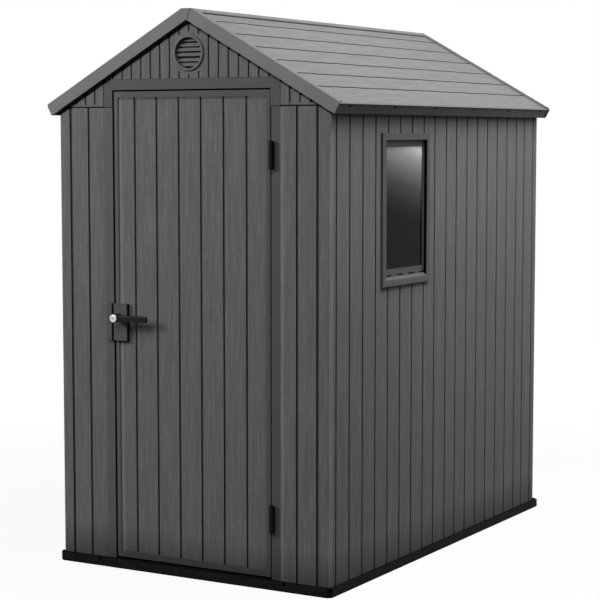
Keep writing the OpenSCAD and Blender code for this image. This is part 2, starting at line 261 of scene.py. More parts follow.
paneFinish = {
    "roughness": 0.06,
    "specular": 0.02,
    "ior": 1.45,
    "alpha": 0.94,
    "rearward": 0.22,            # how much the painted reflection leans to the rear
    # greys of the painted reflection, from the lower front to the upper rear corner
    "stops": [(0.0, 0.09), (0.42, 0.09), (0.535, 0.16), (0.66, 0.255), (0.785, 0.41),
              (0.865, 0.527), (0.91, 0.626), (0.985, 0.85), (1.0, 0.875)],
}
shades = {
    "wall": 0.344,
    "roof": 0.314,
    # lip and rearLip: painted shade on the trims' upward faces
    "lip": 0.285,
    "rearLip": 0.22,
    "trim": 0.4,
    "eave": 0.43,
    "frame": 0.27,
    # a lighter copy of the frame's grey for the latch side: painted light
    "leftFrame": 0.3,
    # painted highlight on the corners' rounding, and painted light on the door's step walls
    "corner": 0.465,
    # painted highlight on the strips that lean towards the light
    "strip": 0.385,
    # painted shade in the grooves, notches and channels
    "groove": 0.24,
    "inside": 0.36,
    "window": 0.258,
    "vent": 0.35,
    "base": 0.095,
    "shadow": 0.025,
    "latch": 0.275,
    "hinge": 0.03,
    "lever": 0.045,
    "zinc": 0.72,
    "lock": 0.78,
}

wallResin = grainedResin("wallResin", shades["wall"], up, plankFinish)
roofResin = grainedResin("roofResin", shades["roof"], back, dict(plankFinish, specular=0.08, bump=0.35))
grooveShadeResin = smoothResin("grooveShadeResin", shades["groove"], smoothFinish)
frameResin = smoothResin("frameResin", shades["frame"], smoothFinish)
leftFrameResin = smoothResin("leftFrameResin", shades["leftFrame"], smoothFinish)
paintedHighlightResin = grainedResin("paintedHighlightResin", shades["corner"], up, plankFinish)
leanHighlightResin = grainedResin("leanHighlightResin", shades["strip"], up, plankFinish)
insideResin = smoothResin("insideResin", shades["inside"], smoothFinish)
trimResin = smoothResin("trimResin", shades["trim"], trimFinish)
paintedShadeLipResin = smoothResin("paintedShadeLipResin", shades["lip"], trimFinish)
rearLipResin = smoothResin("rearLipResin", shades["rearLip"], trimFinish)
eaveResin = smoothResin("eaveResin", shades["eave"], eaveFinish)
windowResin = smoothResin("windowResin", shades["window"], smoothFinish)
ventResin = smoothResin("ventResin", shades["vent"], smoothFinish)
baseResin = smoothResin("baseResin", shades["base"], dict(blackFinish, specular=0.01))
baseShadow = smoothResin("baseShadow", shades["shadow"], dict(blackFinish, specular=0.02))
latchResin = smoothResin("latchResin", shades["latch"], smoothFinish)
hingeBlack = smoothResin("hingeBlack", shades["hinge"], blackFinish)
leverBlack = smoothResin("leverBlack", shades["lever"], dict(blackFinish, specular=0.1, roughness=0.4))
zincSteel = brushedMetal("zincSteel", shades["zinc"], zincFinish)
lockSteel = brushedMetal("lockSteel", shades["lock"], lockFinish)
clearPane = makePaintedReflectionPane("clearPane", paneFinish)
print("materials made:", len(bpy.data.materials))


def near(first, second):
    return abs(first - second) < meshCare["touch"]


def looks(face, direction, share="square"):
    return face.normal.dot(direction) > facing[share]


def onPlane(edge, direction, place):
    return all(near(v.co.dot(direction), place) for v in edge.verts)


def sharpEdges(bm, angle=meshCare["sharp"]):
    # outward corners only
    return [e for e in bm.edges if len(e.link_faces) == 2 and e.is_convex
            and e.calc_face_angle() > angle]


def facesAt(bm, out, level):
    return [f for f in bm.faces if looks(f, out, "flat")
            and near(f.calc_center_median().dot(out), level)]


def joinFlat(bm):
    bmesh.ops.dissolve_limit(bm, angle_limit=meshCare["flat"], verts=bm.verts, edges=bm.edges,
                             delimit={"MATERIAL"})


def mergedCopy(node):
    bm = bmesh.new()
    bm.from_mesh(frame["nodes"][node].data)
    bmesh.ops.remove_doubles(bm, verts=bm.verts, dist=meshCare["merge"])
    joinFlat(bm)
    return bm


def cubeFrom(low, high):
    bm = bmesh.new()
    bmesh.ops.create_cube(bm, size=1)
    bmesh.ops.scale(bm, vec=high - low, verts=bm.verts)
    bmesh.ops.translate(bm, vec=(low + high) / 2, verts=bm.verts)
    return bm


def tubeAlong(direction, start, radius, length, sides=48):
    # a round bar from start, along a direction
    bm = bmesh.new()
    bmesh.ops.create_cone(bm, cap_ends=True, segments=sides, radius1=radius, radius2=radius,
                          depth=length)
    bmesh.ops.translate(bm, vec=up * length / 2, verts=bm.verts)
    turn = up.rotation_difference(Vector(direction)).to_matrix()
    bmesh.ops.rotate(bm, matrix=turn, verts=bm.verts)
    bmesh.ops.translate(bm, vec=start, verts=bm.verts)
    return bm


def addTo(bm, other):
    # puts a second mesh into the first
    holder = bpy.data.meshes.new("holder")
    other.to_mesh(holder)
    other.free()
    bm.from_mesh(holder)
    bpy.data.meshes.remove(holder)


def cut(bm, direction, place, faces=None):
    chosen = bm.faces[:] if faces is None else faces
    edges = list({e for f in chosen for e in f.edges})
    verts = list({v for f in chosen for v in f.verts})
    bmesh.ops.bisect_plane(bm, geom=verts + edges + chosen, dist=meshCare["merge"],
                           plane_co=direction * place, plane_no=direction)


def cutAway(bm, direction, place):
    # removes what lies beyond a plane, and gives the edges of the cut
    made = bmesh.ops.bisect_plane(bm, geom=bm.verts[:] + bm.edges[:] + bm.faces[:],
                                  dist=meshCare["merge"], plane_co=direction * place,
                                  plane_no=direction, clear_outer=True)["geom_cut"]
    return [e for e in made if isinstance(e, bmesh.types.BMEdge)]


def raiseFaces(bm, faces, step):
    grown = bmesh.ops.extrude_face_region(bm, geom=faces)["geom"]
    bmesh.ops.delete(bm, geom=faces, context="FACES")   # the extrusion leaves them inside
    moved = [v for v in grown if isinstance(v, bmesh.types.BMVert)]
    bmesh.ops.translate(bm, vec=step, verts=moved)
    bm.normal_update()
    return [f for f in grown if isinstance(f, bmesh.types.BMFace)]


def moveEdge(bm, axis, place, step):
    for vert in bm.verts:
        if near(vert.co.dot(axis), place):
            vert.co += axis * step


palette = [None]   # finishes by their number on a mesh; the first stands for the piece's main one


def paint(faces, material=None):
    if material not in palette:
        palette.append(material)
    for face in faces:
        face.material_index = palette.index(material)


def dress(node, material):
    # a better finish for a CAD part whose shape is right
    for slot in frame["nodes"][node].material_slots:
        slot.material = material


def soften(bm, edges, width, segments=2):
    if edges:
        bmesh.ops.bevel(bm, geom=edges, offset=width, offset_type="OFFSET", segments=segments,
                        profile=0.5, affect="EDGES", clamp_overlap=True, material=-1)
        bm.normal_update()


def softenPlane(bm, axis, place, width, segments=2, angle=meshCare["sharp"]):
    # rounds the sharp edges that lie in one plane
    soften(bm, [e for e in sharpEdges(bm, angle) if onPlane(e, axis, place)], width, segments)


def topAtLevel(edge, out, level):
    # whether the edge belongs to a face that reaches the level and looks out
    return any(looks(f, out, "nearly")
               and max(v.co.dot(out) for v in f.verts) > level - meshCare["touch"]
               for f in edge.link_faces)


def softenRelief(bm, out, level, width, flush=()):
    # rounds the edges of the raised fields, apart from those that meet a neighbour
    edges = [e for e in sharpEdges(bm) if topAtLevel(e, out, level)
             and not any(onPlane(e, axis, place) for axis, place in flush)]
    soften(bm, edges, width)


def softenLine(bm, out, level, axis, place, width, segments=3):
    # rounds only the edges of the outer face that lie on one line
    edges = [e for e in sharpEdges(bm) if topAtLevel(e, out, level) and onPlane(e, axis, place)]
    soften(bm, edges, width, segments)


def tilt(bm, out, level, axis, place, width, drop):
    # leans a strip beside an edge: the edge goes back by drop, the strip's other side stays
    cut(bm, axis, place + width)
    moved = [v for v in bm.verts if near(v.co.dot(axis), place) and near(v.co.dot(out), level)]
    bmesh.ops.translate(bm, vec=-out * drop, verts=moved)
    bm.normal_update()


def field(across, along, height, material=None):
    # a rectangle between two places each way, raised by its height
    return {"across": across, "along": along, "height": height, "material": material}


def fieldsAt(face, across, along, fields):
    # the fields that a face's middle lies in
    middle = face.calc_center_median()
    a, b = middle.dot(across), middle.dot(along)
    return [item for item in fields if item["across"][0] < a < item["across"][1]
            and item["along"][0] < b < item["along"][1]]


def relief(bm, out, across, along, fields, groove=grooveShadeResin):
    # Pushes the face that looks out back to the grooves' floor, then raises each field
    # to its own height. Groove walls and floors take the groove's finish, by default painted shade.
    level = max(v.co.dot(out) for v in bm.verts)
    depth = max(item["height"] for item in fields)
    floor = level - depth
    front = [v for v in bm.verts if near(v.co.dot(out), level)]
    bmesh.ops.translate(bm, vec=-out * depth, verts=front)
    bm.normal_update()
    for axis, key in ((across, "across"), (along, "along")):
        places = [v.co.dot(axis) for v in front]
        low, high = min(places) + meshCare["touch"], max(places) - meshCare["touch"]
        for place in sorted({round(side, 6) for item in fields for side in item[key]}):
            if low < place < high:
                cut(bm, axis, place)
    bm.normal_update()
    paint(facesAt(bm, out, floor), groove)
    before = 0
    for height in sorted({item["height"] for item in fields}):
        tops = [f for f in facesAt(bm, out, floor + before)
                if any(item["height"] >= height for item in fieldsAt(f, across, along, fields))]
        for face in raiseFaces(bm, tops, out * (height - before)):
            paint([face], fieldsAt(face, across, along, fields)[0]["material"])
        before = height
    limits = [(axis, end(v.co.dot(axis) for v in bm.verts)) for axis in (across, along)
              for end in (min, max)]
    for face in bm.faces:
        middle = face.calc_center_median()
        sideways = max(abs(face.normal.dot(axis)) for axis in (across, along)) > facing["square"]
        if sideways and middle.dot(out) > floor + meshCare["touch"]:
            outer = any(near(middle.dot(axis), place) for axis, place in limits)
            paint([face], None if outer else groove)
    joinFlat(bm)
    return level


def placed(name, data):
    made = bpy.data.objects.new(name, data)
    bpy.context.scene.collection.objects.link(made)
    return made


def pieceName(node):
    first, *others = node.split("_")
    return first + "".join(word.capitalize() for word in others)


def piece(node, bm, body, material, name=None):
    # the finished piece that stands for a CAD node
    bmesh.ops.remove_doubles(bm, verts=bm.verts, dist=meshCare["merge"])
    used = sorted({face.material_index for face in bm.faces})
    for face in bm.faces:
        face.material_index = used.index(face.material_index)
    mesh = bpy.data.meshes.new(name or pieceName(node))
    bm.to_mesh(mesh)
    bm.free()
    for layer in ("custom_normal", "sharp_face"):
        if layer in mesh.attributes:
            mesh.attributes.remove(mesh.attributes[layer])
    for number in used:
        mesh.materials.append(palette[number] or material)
    mesh.shade_smooth()
    mesh.set_sharp_from_angle(angle=meshCare["crease"])
    made = placed(mesh.name, mesh)
    made.modifiers.new("evenShading", "WEIGHTED_NORMAL").keep_sharp = True
    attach(made, body)
    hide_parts(node)


wallLook = {
    "wideGroove": 0.0095,    # beside the corner planks
    "grooveWidth": 0.0078,
    "sideGroove": 0.0068,
    "grooveDepth": 0.0065,
    "edge": 0.0018,          # rounding along the grooves
    "corner": 0.015,         # rounding of the shed's corners
    "cornerSteps": 8,
    "cornerReach": 0.02,     # how far from the corner the roof cuts a wall's top
    "jointEdge": 0.0045,     # rounding along the joint under the gable
    "jointGap": 0.0012,      # groove on each side of that joint
    "jointDepth": 0.0055,
    "channel": 0.0115,       # channel below the rake trims
    "channelLap": 0.003,
    "channelDepth": 0.005,
    "channelShade": (0.015, 0.0005),       # depths behind the wall's face between which the channel's walls get painted shade
    "jambBand": {-1: 0.0315, 1: 0.0345},   # smooth band beside the door, left and right
    "bandDrop": 0.003,       # how far the band lies behind the planks
    "lean": 0.0145,          # leaning strip between the band and the first plank
    "leanDrop": 0.0035,
    "latchReveal": 0.003,    # how far the jambs reach into the door's gap
    "hingeReveal": 0.001,
    "cornerGroove": 0.524,   # from the middle of the shed
    "middleGroove": 0.4426,
    "backPlanks": 6,         # on each half of the back
    "sidePitch": 0.0963,
    "sidePlanks": 7,         # even planks on each side panel
    "jointPlanks": (0.1004, 0.1926),       # grooves in front of the side panels' joint
    "rearShift": 0.006,      # how much narrower the first plank behind the panels' joint is
    "rearPlank": 0.0806,
    "rearReturn": 0.05,      # from the shed's rear corner to the last groove on the side
    "cornerReturn": 0.0345,  # from the shed's corner to the first groove on the side
    "insideRelief": 0.002,
}
wallLow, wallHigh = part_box("front_wall_right")
halfWidth = wallHigh.x
openHalf = wallLow.x
wallFoot = wallLow.z
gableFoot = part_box("front_gable")[0].z
frontY = wallLow.y
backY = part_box("back_wall_right")[1].y
far = 10                     # past the end of any panel
whole = (-far, far)
slopeFaces = [f for f in frame["nodes"]["roof_panel_right"].data.polygons
              if looks(f, up, "half") and looks(f, right, "slightly")]
slopeOut = max(slopeFaces, key=lambda f: f.area).normal.copy()
slope = Vector((slopeOut.z, 0, -slopeOut.x))
# the line that the slopes are set out from meets the middle at this height
peakZ = max(v.co.dot(slopeOut) for v in frame["nodes"]["eave_trim_right"].data.vertices) / slopeOut.z
roofUnder = min(v.co.dot(slopeOut) for v in frame["nodes"]["roof_panel_right"].data.vertices)
rakeFoot = min(v.co.dot(slopeOut) for v in frame["nodes"]["rake_trim_front_right"].data.vertices)


def mirrorX(vector, side):
    return Vector((vector.x * side, vector.y, vector.z))


def outermost(node, out):
    # where a node's face towards the front or the back lies
    low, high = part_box(node)
    return low.y if out.y < 0 else high.y


def evenGrooves(places, width):
    return [(place, width) for place in places]


def toEnds(grooves):
    # lets the outermost fields run past the panel's ends
    return [(-far, 0)] + grooves + [(far, 0)]


def onSide(grooves, side):
    return grooves if side > 0 else [(-place, width) for place, width in reversed(grooves)]


def plankFields(grooves, along, height, material=None):
    # one field between each two neighbouring grooves, each given as (place, width)
    return [field((start + startWidth / 2, stop - stopWidth / 2), along, height, material)
            for (start, startWidth), (stop, stopWidth) in zip(grooves, grooves[1:])]


def panelWithPlanks(bm, out, across, grooves, bands=()):
    # grooves on both faces of a panel, and the outer face's smooth bands
    look = wallLook
    fields = plankFields(grooves, whole, look["grooveDepth"])
    level = relief(bm, out, across, up, fields + list(bands))
    inner = plankFields(grooves, whole, look["insideRelief"], insideResin)
    relief(bm, -out, across, up, inner, insideResin)
    return level


def squareTop(bm, side):
    # fills out the corner that the roof cuts off, until the corner has been rounded
    for vert in bm.verts:
        if vert.co.z > gableFoot / 2 and vert.co.x * side > halfWidth - wallLook["cornerReach"]:
            vert.co.z = gableFoot
    bmesh.ops.remove_doubles(bm, verts=bm.verts, dist=meshCare["merge"])
    joinFlat(bm)


def roundCorner(bm, out, side):
    # the middle strips of the corner's rounding are painted lighter: a painted highlight
    corner = [e for e in sharpEdges(bm) if onPlane(e, right, side * halfWidth)
              and onPlane(e, back, frontY if out.y < 0 else backY)]
    soften(bm, corner, wallLook["corner"], wallLook["cornerSteps"])
    paint([f for f in bm.faces if looks(f, out, "slightly") and looks(f, right * side, "partly")],
          paintedHighlightResin)


def paintLean(bm, out, side):
    # a strip that leans to one side is painted lighter: a painted highlight
    paint([f for f in bm.faces if looks(f, out, "mostly") and looks(f, right * side, "slightly")],
          leanHighlightResin)


def jointNotch(bm, out, place, sign):
    # lets the outer face back along the joint between a wall and its gable
    cut(bm, up, place)
    strip = [f for f in bm.faces if looks(f, out, "partly")
             and (f.calc_center_median().z - place) * sign > 0]
    # the notch's faces take the painted groove shade
    paint(raiseFaces(bm, strip, -out * wallLook["jointDepth"]), grooveShadeResin)


def trimUnderRoof(bm, side):
    bmesh.ops.edgeloop_fill(bm, edges=cutAway(bm, mirrorX(slopeOut, side), roofUnder))
    bm.normal_update()


def rakeChannel(bm, out, level, side):
    # a narrow channel that the rake trim's lower edge hangs over
    look = wallLook
    slant = mirrorX(slopeOut, side)
    low, high = rakeFoot - look["channel"], rakeFoot + look["channelLap"]
    for place in (high, low):
        cut(bm, slant, place, [f for f in bm.faces if looks(f, out, "partly")])
    bm.normal_update()
    strip = [f for f in bm.faces if looks(f, out, "partly")
             and low < f.calc_center_median().dot(slant) < high
             and f.calc_center_median().x * side > 0
             and f.calc_center_median().dot(out) > level - look["channelDepth"]]
    raiseFaces(bm, strip, -out * look["channelDepth"])
    # the channel's walls and floor get the painted groove shade
    deep, shallow = look["channelShade"]
    for face in bm.faces:
        middle = face.calc_center_median()
        if (low - meshCare["touch"] < middle.dot(slant) < high and middle.x * side > 0
                and level - deep < middle.dot(out) < level - shallow):
            paint([face], grooveShadeResin)


def frontWall(node, side):
    look = wallLook
    # the latch side's band is a lighter copy of the frame: painted light
    bandResin = leftFrameResin if side < 0 else frameResin
    bandEdge = openHalf + look["jambBand"][side]
    grooves = onSide([(bandEdge, 0), (look["middleGroove"], look["grooveWidth"]),
                      (look["cornerGroove"], look["wideGroove"]), (far, 0)], side)
    band = field(tuple(sorted((0, side * bandEdge))), whole, look["grooveDepth"] - look["bandDrop"],
                 bandResin)
    joint = gableFoot - look["jointGap"]
    bm = mergedCopy(node)
    squareTop(bm, side)
    moveEdge(bm, right, side * openHalf, -side * look["latchReveal" if side < 0 else "hingeReveal"])
    level = panelWithPlanks(bm, -back, right, grooves, [band])
    roundCorner(bm, -back, side)
    tilt(bm, -back, level, right, side * bandEdge, side * look["lean"], look["leanDrop"])
    if side > 0:
        paintLean(bm, -back, -side)
    jointNotch(bm, -back, joint, 1)
    softenLine(bm, -back, level, up, joint, look["jointEdge"])
    flush = [(right, side * halfWidth), (right, side * bandEdge), (up, wallFoot), (up, joint)]
    softenRelief(bm, -back, level, look["edge"], flush)
    trimUnderRoof(bm, side)
    rakeChannel(bm, -back, level, side)
    # the jambs' sides in the door's gap: painted shade on the latch side, the frame's grey on the hinge
    # side
    paint([f for f in bm.faces if looks(f, -right * side)
           and abs(f.calc_center_median().x) < openHalf], baseShadow if side < 0 else frameResin)
    piece(node, bm, "shed", wallResin)


def backWall(node, side):
    look = wallLook
    places = [halfWidth / look["backPlanks"] * i for i in range(look["backPlanks"])]
    grooves = onSide(evenGrooves(places, look["grooveWidth"]) + [(far, 0)], side)
    joint = gableFoot - look["jointGap"]
    bm = mergedCopy(node)
    squareTop(bm, side)
    level = panelWithPlanks(bm, back, right, grooves)
    roundCorner(bm, back, side)
    jointNotch(bm, back, joint, 1)
    softenLine(bm, back, level, up, joint, look["jointEdge"])
    softenRelief(bm, back, level, look["edge"],
                 [(right, side * halfWidth), (up, wallFoot), (up, joint)])
    trimUnderRoof(bm, side)
    rakeChannel(bm, back, level, side)
    piece(node, bm, "shed", wallResin)


def sideWall(node, side):
    look = wallLook
    low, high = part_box(node)
    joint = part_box("left_wall_rear")[0].y
    pitch, planks = look["sidePitch"], look["sidePlanks"]
    places = [frontY + look["cornerReturn"]]
    places += [joint - look["jointPlanks"][1] - pitch * i for i in reversed(range(planks))]
    places += [joint - look["jointPlanks"][0], joint]
    places += [joint + pitch * i - look["rearShift"] for i in range(1, planks + 1)]
    places += [places[-1] + look["rearPlank"], backY - look["rearReturn"]]
    bm = mergedCopy(node)
    level = panelWithPlanks(bm, right * side, back, toEnds(evenGrooves(places, look["sideGroove"])))
    softenRelief(bm, right * side, level, look["edge"],
                 [(back, low.y), (back, high.y), (up, wallFoot)])
    piece(node, bm, "shed", wallResin)


for half, halfSide in (("left", -1), ("right", 1)):
    frontWall("front_wall_" + half, halfSide)
for half, halfSide in (("left", -1), ("right", 1)):
    backWall("back_wall_" + half, halfSide)
for half, halfSide in (("left", -1), ("right", 1)):
    sideWall(half + "_wall_front", halfSide)
    sideWall(half + "_wall_rear", halfSide)
print("walls made")


gableLook = {
    "pitch": 0.04137,
    "grooveWidth": 0.0056,
    "grooveDepth": 0.0055,
    "edge": 0.0015,
    "lintel": 0.0375,        # smooth band above the door's opening
    "bandDrop": 0.002,
    "legFoot": 0.0105,       # the grooves stop this far above the gable's foot
    "ventRing": 0.076,       # plain ring around the vent
    "softLine": 0.0028,      # shallow line above the hinge side's jamb band
    "softDepth": 0.0035,
    "hingeReveal": 0.0038,   # how far the leg above the hinges reaches into the door's gap
}
ventLook = {
    "pitch": 0.0176,
    "blade": 0.0125,         # height of a louvre as seen from the front
    "lean": 0.75,            # how far a louvre leans, for each unit of its height
    "thick": 0.0016,
    "count": 6,
    "lowest": 0.041,         # from the vent's middle down to the lowest louvre
    "setBack": 0.009,
    "letIn": 0.001,          # how far the louvres reach into the ring
    "flange": 0.0095,        # width of the ring's face
    "sleeve": 0.003,
    "crownDrop": 0.0012,     # the ring's face lies this far below its CAD size
    "outerEdge": 0.003,
    "innerEdge": 0.002,
    "steps": 64,
}


def gable(node, out, doorway):
    look = gableLook
    half, height = look["grooveWidth"] / 2, look["grooveDepth"]
    low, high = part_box(node)
    ventZ = sum(corner.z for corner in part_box("front_vent")) / 2
    foot = low.z + look["legFoot"]
    joint = low.z + wallLook["jointGap"]
    bm = mergedCopy(node)
    if doorway:
        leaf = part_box("door_leaf")[1]
        bandTop = leaf.z + openHalf - leaf.x + look["lintel"]
        bandSide = openHalf + wallLook["jambBand"][1]
        lineSide = bandSide + look["softLine"]
        # the shallow line beside the band takes the painted groove shade
        fields = [field((-bandSide, bandSide), (-far, bandTop), height - look["bandDrop"], frameResin),
                  field((0, lineSide), (-far, bandTop), height - look["softDepth"], grooveShadeResin)]
        legs = [(lineSide, far), (-far, -bandSide)]
        moveEdge(bm, right, openHalf, -look["hingeReveal"])
        moveEdge(bm, right, -openHalf, wallLook["latchReveal"])
    else:
        bandTop, fields, legs = foot, [field(whole, (-far, foot), height)], []
    fields += [field(leg, (-far, foot), height) for leg in legs]
    count = int(high.x / look["pitch"]) + 1
    for i in range(-count, count):
        start, stop = look["pitch"] * i + half, look["pitch"] * (i + 1) - half
        fields.append(field((start, stop), (bandTop, far), height))
        fields += [field((max(start, inner), min(stop, outer)), (foot, bandTop), height)
                   for inner, outer in legs if stop > inner and start < outer]
        groove = look["pitch"] * i
        if abs(groove) < look["ventRing"]:
            reach = sqrt(look["ventRing"] ** 2 - groove ** 2)
            fields.append(field((groove - half, groove + half), (ventZ - reach, ventZ + reach), height))
    level = relief(bm, out, right, up, fields)
    jointNotch(bm, out, joint, -1)
    softenLine(bm, out, level, up, joint, wallLook["jointEdge"])
    softenRelief(bm, out, level, look["edge"], [(up, joint)])
    for side in (-1, 1):
        rakeChannel(bm, out, level, side)
    piece(node, bm, "shed", wallResin)


def spunRing(profile, centre, axis, start, steps):
    # turns a closed outline of (radius, distance along the axis) round the axis
    bm = bmesh.new()
    points = [bm.verts.new(centre + start * r + axis * d) for r, d in profile]
    ring = [bm.edges.new((a, b)) for a, b in zip(points, points[1:] + points[:1])]
    bmesh.ops.spin(bm, geom=points + ring, cent=centre, axis=axis, dvec=(0, 0, 0),
                   angle=2 * pi, steps=steps, use_merge=True)
    bmesh.ops.recalc_face_normals(bm, faces=bm.faces)
    return bm


def louvre(centre, out, radius, height, look):
    # a strip of a disc, leaning so that its lower edge stands forward
    bm = bmesh.new()
    bmesh.ops.create_circle(bm, cap_ends=True, radius=radius, segments=look["steps"])
    bmesh.ops.rotate(bm, matrix=Matrix.Rotation(pi / 2, 3, "X"), verts=bm.verts)
    cutAway(bm, up, height + look["blade"] / 2)
    cutAway(bm, -up, look["blade"] / 2 - height)
    for vert in bm.verts:
        vert.co -= out * (vert.co.z - height) * look["lean"]
    bmesh.ops.translate(bm, vec=centre - out * look["setBack"], verts=bm.verts)
    bmesh.ops.recalc_face_normals(bm, faces=bm.faces)
    bmesh.ops.solidify(bm, geom=bm.faces[:], thickness=look["thick"])
    bmesh.ops.recalc_face_normals(bm, faces=bm.faces)
    return bm


def vent(node, out):
    look = ventLook
    low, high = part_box(node)
    wallY = frontY if out.y < 0 else backY
    centre = Vector((0, wallY, (low.z + high.z) / 2))
    flange = (high.x - low.x) / 2
    proud = abs(outermost(node, out) - wallY)
    deep = high.y - low.y - proud
    bore = flange - look["flange"]
    sleeve = bore + look["sleeve"]
    crown = proud - look["crownDrop"]
    outer, inner = look["outerEdge"], look["innerEdge"]
    profile = [(bore, -deep), (sleeve, -deep), (sleeve, 0), (flange, 0),
               (flange, crown - outer), (flange - outer / 3, crown - outer / 3), (flange - outer, crown),
               (bore + inner, crown), (bore + inner * 0.35, crown - inner * 0.3), (bore, crown - inner)]
    bm = spunRing(profile, centre, out, right, look["steps"])
    for i in range(look["count"]):
        addTo(bm, louvre(centre, out, bore + look["letIn"], i * look["pitch"] - look["lowest"], look))
    piece(node, bm, "shed", ventResin)


gable("front_gable", -back, True)
gable("back_gable", back, False)
vent("front_vent", -back)
vent("back_vent", back)
print("gables and vents made")


roofLook = {
    "pitch": 0.0959,
    "grooves": 6,            # across each slope
    "firstGroove": 0.1005,   # from the peak of the slope down to the first groove
    "grooveWidth": 0.006,
    "grooveDepth": 0.005,
    "capGroove": 0.0025,     # groove along the ridge cap's foot
    "edge": 0.0014,
    "wave": 0.0018,          # how far the grooves stray from straight
    "waveLengths": (0.31, 0.127),
    "wavePhase": 2.3,        # sets each groove's waves apart from the next one's
    "waveReach": 0.0051,     # what lies this near a groove's middle moves with it
    "waveStep": 0.02,
    "capEdge": 0.0045,
    "trimNose": 0.0025,      # rounding of the trims' upper edge
    "trimEdge": 0.0016,
    "rakeEnd": 0.009,        # rounding of the rake trims' upper outer corner
    "keyGap": 0.0022,        # rounding on each side of the joints beside the ridge end
    "keyProud": 0.002,
    "hooks": (0.168, 0.503, 0.838),
    "hookWidth": 0.013,
    "hookHeight": 0.011,
    "hookLean": 0.012,       # how far a hook's top stands behind its foot
    "hookDrop": 0.0045,
    "faceDepth": 0.003,      # the eave trim's face lies behind its top strip
    "hookDepth": 0.005,
    "longEdge": 0.9,         # share of the eave from which an edge counts as running along it
}


def waveGrooves(bm, down, lines, low, high):
    # lets the grooves wander a little, as hand-laid boards do
    look = roofLook
    steps = int((high.y - low.y) / look["waveStep"])
    for i in range(1, steps):
        cut(bm, back, low.y + (high.y - low.y) * i / steps)
    for index, line in enumerate(lines):
        for vert in bm.verts:
            if abs(vert.co.dot(down) - line) < look["waveReach"]:
                wave = sum(sin(2 * pi * vert.co.y / length + look["wavePhase"] * index * (i + 1))
                           for i, length in enumerate(look["waveLengths"]))
                vert.co += down * look["wave"] * wave / 2
    bm.normal_update()


def roofPanel(node, side):
    look = roofLook
    down, out = mirrorX(slope, side), mirrorX(slopeOut, side)
    low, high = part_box(node)
    start = peakZ * down.z + look["firstGroove"]
    bm = mergedCopy(node)
    places = [start + look["pitch"] * i for i in range(look["grooves"])]
    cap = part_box("ridge_cap")[1]
    top = max(v.co.dot(out) for v in bm.verts)
    capFoot = Vector((cap.x, 0, (top - cap.x * slopeOut.x) / slopeOut.z)).dot(slope)
    grooves = [(capFoot, look["capGroove"])] + evenGrooves(places, look["grooveWidth"])
    level = relief(bm, out, down, back, plankFields(toEnds(grooves), whole, look["grooveDepth"]))
    softenRelief(bm, out, level, look["edge"], [(back, low.y), (back, high.y)])
    waveGrooves(bm, down, places, low, high)
    piece(node, bm, "shed", roofResin)


def ridgeCap(node):
    bm = mergedCopy(node)
    low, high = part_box(node)
    soften(bm, [e for e in sharpEdges(bm, radians(10))
                if not onPlane(e, back, low.y) and not onPlane(e, back, high.y)],
           roofLook["capEdge"], 3)
    piece(node, bm, "shed", roofResin)


def rakeTrim(node, side, out):
    look = roofLook
    bm = mergedCopy(node)
    faceY = outermost(node, out)
    slant = mirrorX(slopeOut, side)
    softenPlane(bm, right * side, max(v.co.x * side for v in bm.verts), look["rakeEnd"], 5)
    nose = [e for e in sharpEdges(bm) if onPlane(e, back, faceY)
            and any(looks(f, slant) for f in e.link_faces)]
    soften(bm, nose, look["trimNose"], 5)
    softenPlane(bm, back, faceY, look["trimEdge"])
    if out.y > 0:
        paint([f for f in bm.faces if looks(f, right * side, "half")
               and f.calc_center_median().x * side > halfWidth], baseShadow)
    # the lip's top is painted darker where it faces up: painted shade, darker still on the rear trims
    paint([f for f in bm.faces if looks(f, slant, "half")], paintedShadeLipResin if out.y < 0 else rearLipResin)
    piece(node, bm, "shed", trimResin)


def ridgeEnd(node, out):
    look = roofLook
    bm = mergedCopy(node)
    faceY = outermost(node, out)
    moveEdge(bm, back, faceY, out.y * look["keyProud"])
    faceY += out.y * look["keyProud"]
    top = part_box(node)[1].z
    nose = [e for e in sharpEdges(bm) if onPlane(e, back, faceY) and onPlane(e, up, top)]
    soften(bm, nose, look["trimNose"], 5)
    softenPlane(bm, back, faceY, look["keyGap"], 2, radians(20))
    piece(node, bm, "shed", trimResin)


def eaveTrim(node, side):
    look = roofLook
    bm = mergedCopy(node)
    low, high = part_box(node)
    down, out = mirrorX(slope, side), mirrorX(slopeOut, side)
    strip = max(v.co.dot(out) for v in bm.verts) - look["hookDrop"]
    hookLow = strip - look["hookHeight"]
    sides = sorted(place * sign for place in look["hooks"] for sign in (-1, 1))
    fields = [field(whole, (strip, far), look["faceDepth"] + look["hookDepth"]),
              field(whole, (-far, hookLow), look["hookDepth"])]
    fields += plankFields(toEnds(evenGrooves(sides, look["hookWidth"])), (hookLow, strip),
                          look["hookDepth"])
    relief(bm, down, back, out, fields, baseShadow)
    for vert in bm.verts:
        beside = any(near(abs(vert.co.y - place), look["hookWidth"] / 2) for place in sides)
        if beside and near(vert.co.dot(out), strip):
            vert.co.y += look["hookLean"]
    soften(bm, [e for e in sharpEdges(bm) if e.calc_length() > (high.y - low.y) * look["longEdge"]
                and any(looks(f, down, "mostly") for f in e.link_faces)], look["trimEdge"])
    # the top strip is painted darker where it faces up: painted shade
    paint([f for f in bm.faces if looks(f, out, "half")], paintedShadeLipResin)
    piece(node, bm, "shed", eaveResin)


